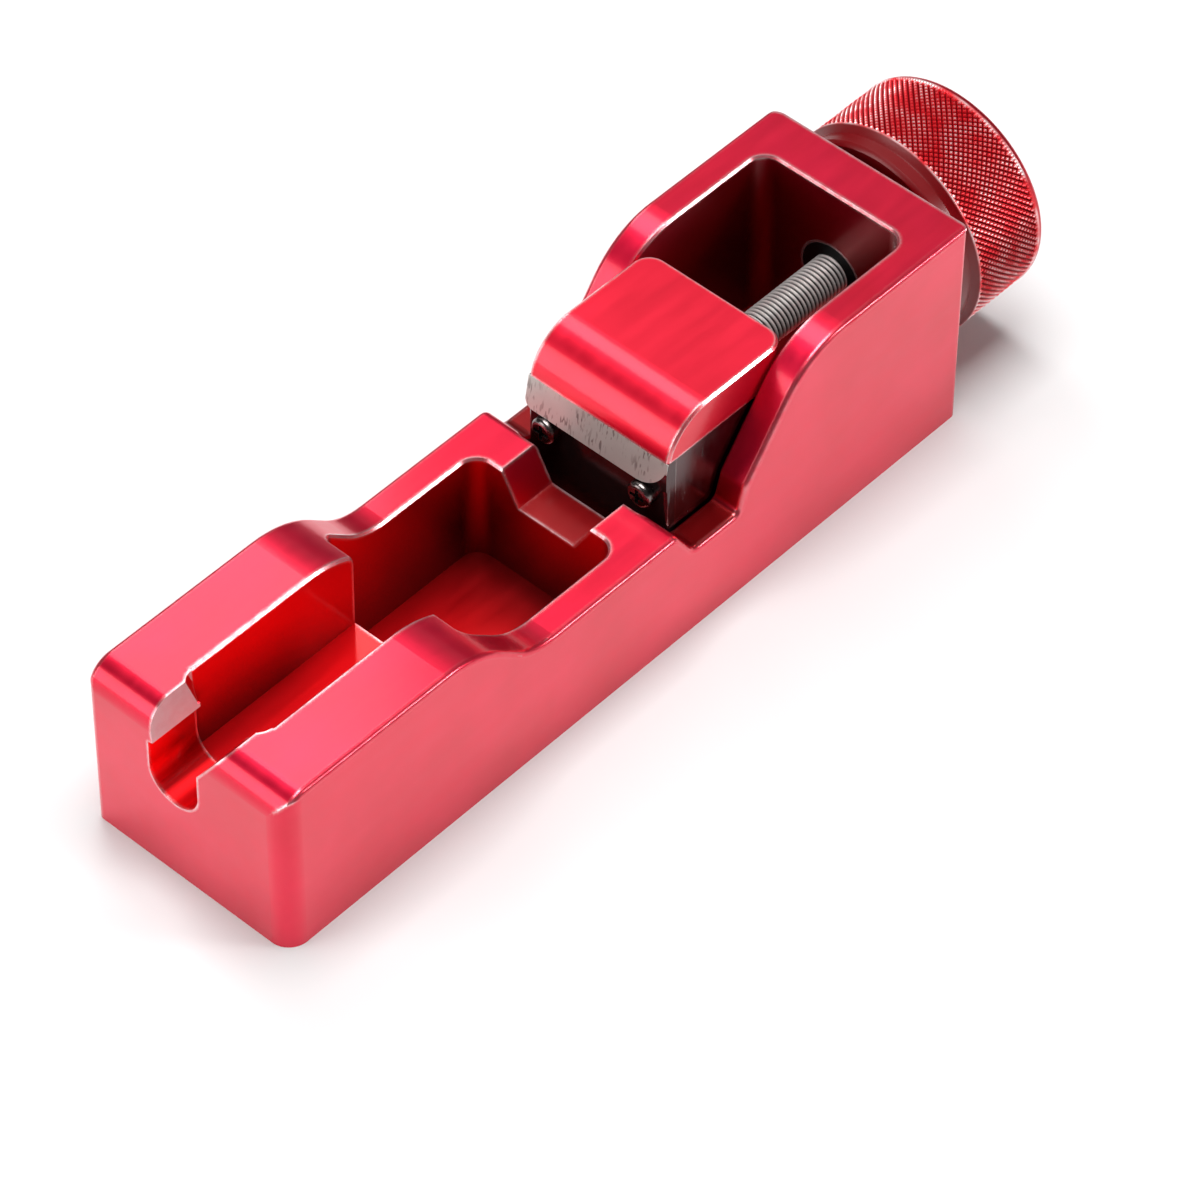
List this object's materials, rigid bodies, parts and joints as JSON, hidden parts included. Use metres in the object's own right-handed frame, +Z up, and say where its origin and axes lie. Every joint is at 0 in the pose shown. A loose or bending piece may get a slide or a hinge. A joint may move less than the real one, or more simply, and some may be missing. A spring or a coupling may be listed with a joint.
{
  "type": "spark plug gap tool",
  "caption": "Red anodised bench tool: a grooved block seats a spark plug while a knurled knob feeds a steel-nosed sliding jaw onto its electrode.",
  "frame": {"origin": "middle of the body's flat underside", "axes": "+X runs along the feed screw towards the knob, +Y across the body to the far side, +Z up"},
  "size_m": [0.15, 0.035, 0.0375],
  "materials": {
    "body_red": "red anodised over fine milling",
    "cap_red": "red anodised, smooth",
    "knob_red": "red anodised, turned and knurled",
    "carriage_steel": "ground and polished",
    "anvil_steel": "ground, fine scratches",
    "pan_screw_steel": "zinc plated",
    "black_steel": "black oxide",
    "plain_steel": "ground",
    "spring_steel": "hardened, oiled",
    "screw_steel": "rolled thread, bright",
    "bushing_brass": "turned",
    "brake_nylon": "moulded"
  },
  "bodies": {
    "frame": {"body": "body_red", "feed_bushing": "black_steel", "brake_pad": "brake_nylon", "brake_screw": "black_steel"},
    "jaw": {"jaw_carriage": "carriage_steel", "jaw_cap": "cap_red", "cap_screws": "black_steel", "cap_dowels": "plain_steel", "anvil_plate": "anvil_steel", "anvil_screws": "pan_screw_steel", "rear_thrust_washer": "plain_steel", "front_thrust_washer": "plain_steel", "wave_washer": "spring_steel"},
    "spindle": {"feed_screw": "screw_steel", "retaining_clip": "spring_steel", "knob": "knob_red", "knob_hub": "bushing_brass", "drive_key": "plain_steel", "knob_washer": "plain_steel", "knob_screw": "black_steel"}
  },
  "joints": [
    {"name": "jaw_slide", "type": "slide", "parent": "frame", "child": "jaw", "axis": [1, 0, 0], "range_m": [-0.00075, 0.0225]},
    {"name": "spindle_spin", "type": "hinge", "parent": "jaw", "child": "spindle", "pos_m": [0.0349, 0, 0.0208], "axis": [1, 0, 0], "range_deg": [-361, 10802]}
  ],
  "couplings": [
    {"joint": "spindle_spin", "follows": "jaw_slide", "rad_per_m": 8377.6}
  ]
}
